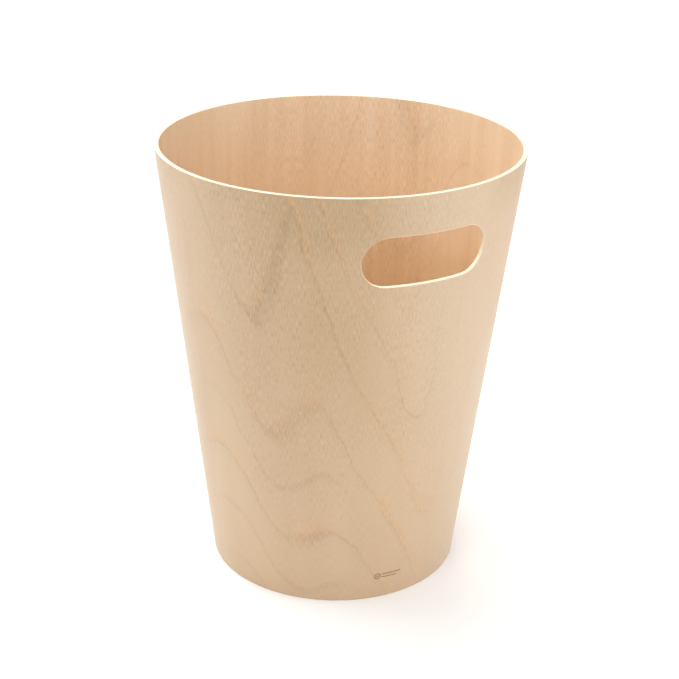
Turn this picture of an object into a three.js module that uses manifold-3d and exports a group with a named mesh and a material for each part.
// An open wastebasket of moulded plywood. Its tapered wall is five veneers wrapped round a cone
// and glued, with a hand hole through them. A three-ply round board is glued inside near the foot.
// Millimetres, +Z up. The origin is on the axis at floor level and the hand hole faces -Y.
import * as THREE from "three";
import { mergeVertices } from "three/addons/utils/BufferGeometryUtils.js";
import Module from "manifold-3d";

// Driving dimensions of the wall
const height = 280;
const rimRadius = 114.5; // outside, at the top
const footRadius = 81; // outside, at the floor
const wallThickness = 3; // measured radially
const glueLine = 0.05; // between any two veneers
const edgeEase = 0.45; // sanded round on the wall's four long edges
const seamGap = 0.3; // where a wrapped veneer's two edges meet

// Hand hole, cut straight through the front of the wall
const holeLength = 81; // straight across
const holeHeight = 31;
const holeCentreHeight = 240.1;

// Base board and the glue that holds it
const baseRecess = 8; // from the floor up to the board's underside
const baseThickness = 5;
const baseFaceThickness = 0.9;
const baseClearance = 0.3; // between the board's edge and the wall
const lowerBeadLeg = 3.5;
const upperBeadLeg = 1.6;
const beadClearance = 0.3; // between the hardened glue and its neighbours

const roundSegments = 96; // round the axis
const easeSegments = 2; // round a sanded edge
const beadSegments = 3; // across a glue bead's hollow face
const holeEndSegments = 12; // round each end of the hand hole

const wallSlope = (rimRadius - footRadius) / height;
const quarterTurn = Math.PI / 2;

// The wall's veneers from the outside in, with the bearing of each one's seam in degrees from +X.
// The seams are a sixth of a turn apart, and none of them meets the hand hole.
const wallVeneers = [
  { name: "outer_face_veneer", seamBearing: 90, color: 0xd6b78d },
  { name: "outer_crossband", seamBearing: 150, color: 0xe8d8b8 },
  { name: "middle_veneer", seamBearing: 30, color: 0xe0c9a2 },
  { name: "inner_crossband", seamBearing: 330, color: 0xe8d8b8 },
  { name: "inner_face_veneer", seamBearing: 210, color: 0xdab68c },
];
const veneerThickness =
  (wallThickness - glueLine * (wallVeneers.length - 1)) / wallVeneers.length;

// The base board's veneers from the bottom up.
const baseCoreThickness = baseThickness - 2 * (baseFaceThickness + glueLine);
const baseVeneers = [
  { name: "base_bottom_veneer", thickness: baseFaceThickness, color: 0xd8b88e },
  { name: "base_core", thickness: baseCoreThickness, color: 0xe2cba4 },
  { name: "base_top_veneer", thickness: baseFaceThickness, color: 0xd8b88e },
];

const wasm = await Module();
wasm.setup();

// Radius of the cone that lies `depth` inside the wall's outer face, at height z.
function wallRadius(z, depth) {
  return footRadius + wallSlope * z - depth;
}

// A profile of [radius, height] points, anticlockwise, turned about +Z.
function turned(profile) {
  const points = profile.map(([radius, z]) => new THREE.Vector2(radius, z));
  return new THREE.LatheGeometry(points, roundSegments).rotateX(quarterTurn);
}

// A quarter circle of sanded edge, starting at an angle and turning anticlockwise.
function easedCorner(centreRadius, centreZ, startAngle) {
  return Array.from({ length: easeSegments + 1 }, (_, i) => {
    const angle = startAngle + (quarterTurn * i) / easeSegments;
    return [centreRadius + edgeEase * Math.cos(angle), centreZ + edgeEase * Math.sin(angle)];
  });
}

// Section of one veneer. Only the corners that the finished wall shows are sanded round.
function veneerProfile(layer) {
  const outerDepth = layer * (veneerThickness + glueLine);
  const innerDepth = outerDepth + veneerThickness;
  const profile = [];
  if (layer === 0) {
    profile.push(...easedCorner(wallRadius(0, edgeEase), edgeEase, -quarterTurn));
    profile.push(...easedCorner(wallRadius(height, edgeEase), height - edgeEase, 0));
  } else {
    profile.push([wallRadius(0, outerDepth), 0]);
    profile.push([wallRadius(height, outerDepth), height]);
  }
  if (layer === wallVeneers.length - 1) {
    const easeDepth = wallThickness - edgeEase;
    profile.push(...easedCorner(wallRadius(height, easeDepth), height - edgeEase, quarterTurn));
    profile.push(...easedCorner(wallRadius(0, easeDepth), edgeEase, 2 * quarterTurn));
  } else {
    profile.push([wallRadius(height, innerDepth), height]);
    profile.push([wallRadius(0, innerDepth), 0]);
  }
  return [...profile, profile[0]];
}

// A geometry as a manifold-3d solid.
function toSolid(geometry) {
  const bare = geometry.clone();
  bare.deleteAttribute("normal");
  bare.deleteAttribute("uv");
  const merged = mergeVertices(bare, 1e-4);
  return new wasm.Manifold(
    new wasm.Mesh({
      numProp: 3,
      vertProperties: merged.attributes.position.array,
      triVerts: new Uint32Array(merged.index.array),
    }),
  );
}

// A manifold-3d solid as a geometry.
function toGeometry(solid) {
  const { vertProperties, triVerts } = solid.getMesh();
  const geometry = new THREE.BufferGeometry();
  geometry.setAttribute("position", new THREE.BufferAttribute(vertProperties, 3));
  geometry.setIndex(new THREE.BufferAttribute(triVerts, 1));
  geometry.computeVertexNormals();
  return geometry;
}

// The hand hole's cutter: a round-ended slot, extruded level and straight forwards from the axis.
function handHoleCutter() {
  const endRadius = holeHeight / 2;
  const halfStraight = holeLength / 2 - endRadius;
  const outline = new THREE.Shape();
  outline.absarc(halfStraight, 0, endRadius, -quarterTurn, quarterTurn, false);
  outline.absarc(-halfStraight, 0, endRadius, quarterTurn, 3 * quarterTurn, false);
  const depth = 1.2 * rimRadius;
  const curveSegments = holeEndSegments;
  const slot = new THREE.ExtrudeGeometry(outline, { depth, curveSegments, bevelEnabled: false });
  slot.rotateX(quarterTurn);
  slot.translate(0, 0, holeCentreHeight);
  return toSolid(slot);
}

// A thin upright slice, on one side of the axis only, that parts a wrapped veneer at its seam.
function seamCutter(bearing) {
  const slice = new THREE.BoxGeometry(rimRadius, seamGap, 3 * height);
  slice.translate(footRadius / 2 + rimRadius / 2, 0, 0);
  slice.rotateZ(THREE.MathUtils.degToRad(bearing));
  return toSolid(slice);
}

function part(name, geometry, color, roughness) {
  const material = new THREE.MeshStandardMaterial({ color, roughness, metalness: 0 });
  const mesh = new THREE.Mesh(geometry, material);
  mesh.name = name;
  return mesh;
}

// The tapered wall, one veneer at a time.
function wall() {
  const group = new THREE.Group();
  const handHole = handHoleCutter();
  wallVeneers.forEach(({ name, seamBearing, color }, layer) => {
    const ring = toSolid(turned(veneerProfile(layer)));
    const wrapped = ring.subtract(handHole).subtract(seamCutter(seamBearing));
    group.add(part(name, toGeometry(wrapped), color, 0.5));
  });
  return group;
}

// The round base board, whose edge follows the wall's taper.
function baseBoard() {
  const group = new THREE.Group();
  const edgeDepth = wallThickness + baseClearance;
  let bottom = baseRecess;
  for (const { name, thickness, color } of baseVeneers) {
    const top = bottom + thickness;
    const disc = turned([
      [0, bottom],
      [wallRadius(bottom, edgeDepth), bottom],
      [wallRadius(top, edgeDepth), top],
      [0, top],
    ]);
    group.add(part(name, disc, color, 0.6));
    bottom = top + glueLine;
  }
  return group;
}

// A bead of hardened glue in the corner between a face of the base board and the wall, with a
// hollow quarter circle as its free face. `side` is 1 on top of the board and -1 under it.
function glueBead(name, boardFace, leg, side) {
  const section = [[0, 0]]; // distances from the wall and from the board
  for (let i = 0; i <= beadSegments; i++) {
    const angle = quarterTurn * (1 - i / beadSegments);
    section.push([leg * (1 - Math.sin(angle)), leg * (1 - Math.cos(angle))]);
  }
  const profile = section.map(([fromWall, fromBoard]) => {
    const z = boardFace + side * (beadClearance + fromBoard);
    return [wallRadius(z, wallThickness + beadClearance + fromWall), z];
  });
  if (side < 0) profile.reverse();
  return part(name, turned([...profile, profile[0]]), 0xe9dcc0, 0.35);
}

const wastebasket = new THREE.Group();
wastebasket.add(wall());
wastebasket.add(baseBoard());
wastebasket.add(glueBead("lower_glue_bead", baseRecess, lowerBeadLeg, -1));
wastebasket.add(glueBead("upper_glue_bead", baseRecess + baseThickness, upperBeadLeg, 1));

export default wastebasket;
